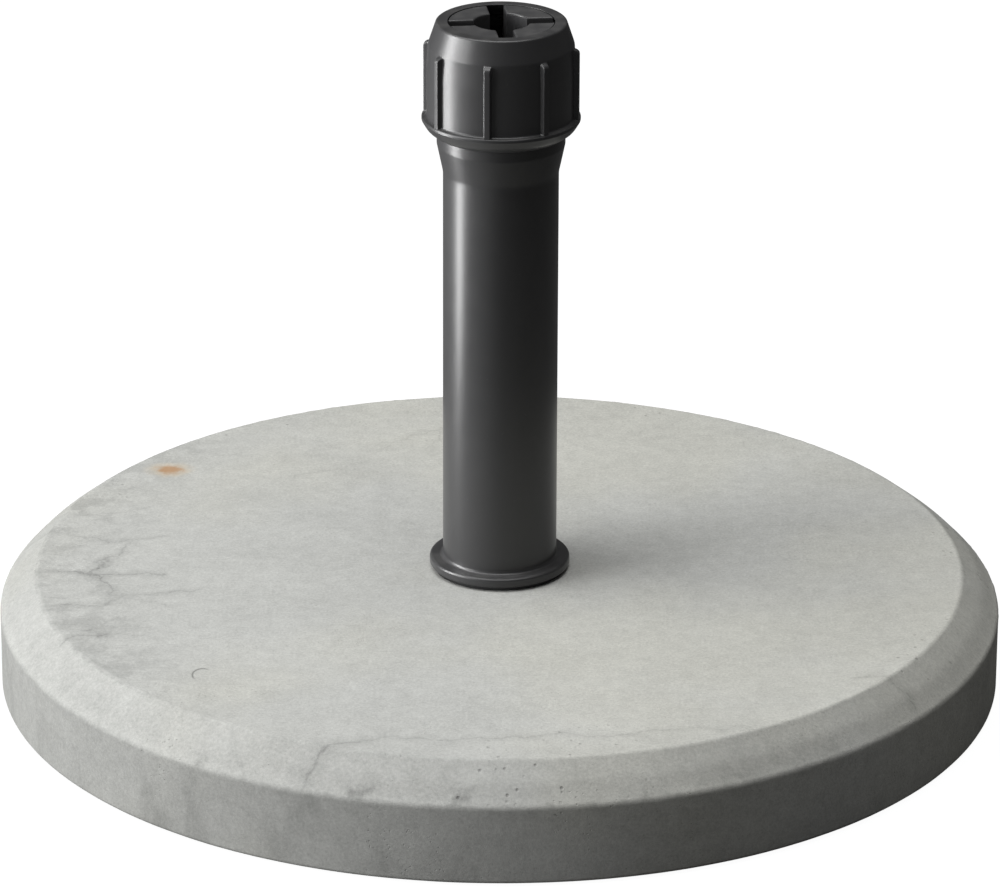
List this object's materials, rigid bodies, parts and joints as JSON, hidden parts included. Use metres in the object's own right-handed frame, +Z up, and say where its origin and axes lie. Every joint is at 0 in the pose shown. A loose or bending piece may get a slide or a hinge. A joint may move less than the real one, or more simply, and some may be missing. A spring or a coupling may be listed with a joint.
{
  "type": "parasol base",
  "caption": "Round concrete parasol base with a bevelled rim, an upright plastic pole tube and a ribbed clamp nut whose jaws close on the pole.",
  "frame": {"origin": "on the ground under the centre of the slab, on the tube's axis", "axes": "+Z up along the pole tube; +X and +Y level, with no preferred direction on the round slab"},
  "size_m": [0.55, 0.55, 0.3774],
  "materials": {
    "concrete": "matte",
    "charcoal_plastic": "satin",
    "jaw_plastic": "satin",
    "slip_plastic": "satin",
    "sleeve_plastic": "matte",
    "zinc_steel": "satin",
    "rubber": "matte"
  },
  "bodies": {
    "stand": {"concrete_slab": "concrete", "centre_sleeve": "sleeve_plastic", "pole_tube": "charcoal_plastic", "pole_seat": "sleeve_plastic", "washer": "zinc_steel", "lock_nut": "charcoal_plastic", "jaw_ring": "jaw_plastic", "foot_pad_1": "rubber", "foot_pad_2": "rubber", "foot_pad_3": "rubber", "foot_pad_4": "rubber", "foot_pad_5": "rubber", "foot_pad_6": "rubber"},
    "slip_ring": {"slip_ring": "slip_plastic"},
    "clamp_nut": {"clamp_nut": "charcoal_plastic"},
    "clamp_jaw_1": {"clamp_jaw_1": "jaw_plastic"},
    "clamp_jaw_2": {"clamp_jaw_2": "jaw_plastic"},
    "clamp_jaw_3": {"clamp_jaw_3": "jaw_plastic"},
    "clamp_jaw_4": {"clamp_jaw_4": "jaw_plastic"}
  },
  "joints": [
    {"name": "nut_travel", "type": "slide", "parent": "stand", "child": "slip_ring", "axis": [0, 0, 1], "range_m": [-0.012, 0.008]},
    {"name": "nut_turn", "type": "hinge", "parent": "slip_ring", "child": "clamp_nut", "pos_m": [0, 0, 0.345], "axis": [0, 0, 1], "range_deg": [-720, 480]},
    {"name": "jaw_1_rock", "type": "hinge", "parent": "stand", "child": "clamp_jaw_1", "pos_m": [0.01478, 0.01891, 0.3254], "axis": [-0.788, 0.6157, 0], "range_deg": [-6, 4]},
    {"name": "jaw_2_rock", "type": "hinge", "parent": "stand", "child": "clamp_jaw_2", "pos_m": [-0.01891, 0.01478, 0.3254], "axis": [-0.6157, -0.788, 0], "range_deg": [-6, 4]},
    {"name": "jaw_3_rock", "type": "hinge", "parent": "stand", "child": "clamp_jaw_3", "pos_m": [-0.01478, -0.01891, 0.3254], "axis": [0.788, -0.6157, 0], "range_deg": [-6, 4]},
    {"name": "jaw_4_rock", "type": "hinge", "parent": "stand", "child": "clamp_jaw_4", "pos_m": [0.01891, -0.01478, 0.3254], "axis": [0.6157, 0.788, 0], "range_deg": [-6, 4]}
  ],
  "couplings": [
    {"joint": "nut_travel", "follows": "nut_turn", "m_per_rad": 0.00095493},
    {"joint": "jaw_1_rock", "follows": "nut_turn", "ratio": 0.0083333},
    {"joint": "jaw_2_rock", "follows": "nut_turn", "ratio": 0.0083333},
    {"joint": "jaw_3_rock", "follows": "nut_turn", "ratio": 0.0083333},
    {"joint": "jaw_4_rock", "follows": "nut_turn", "ratio": 0.0083333}
  ]
}
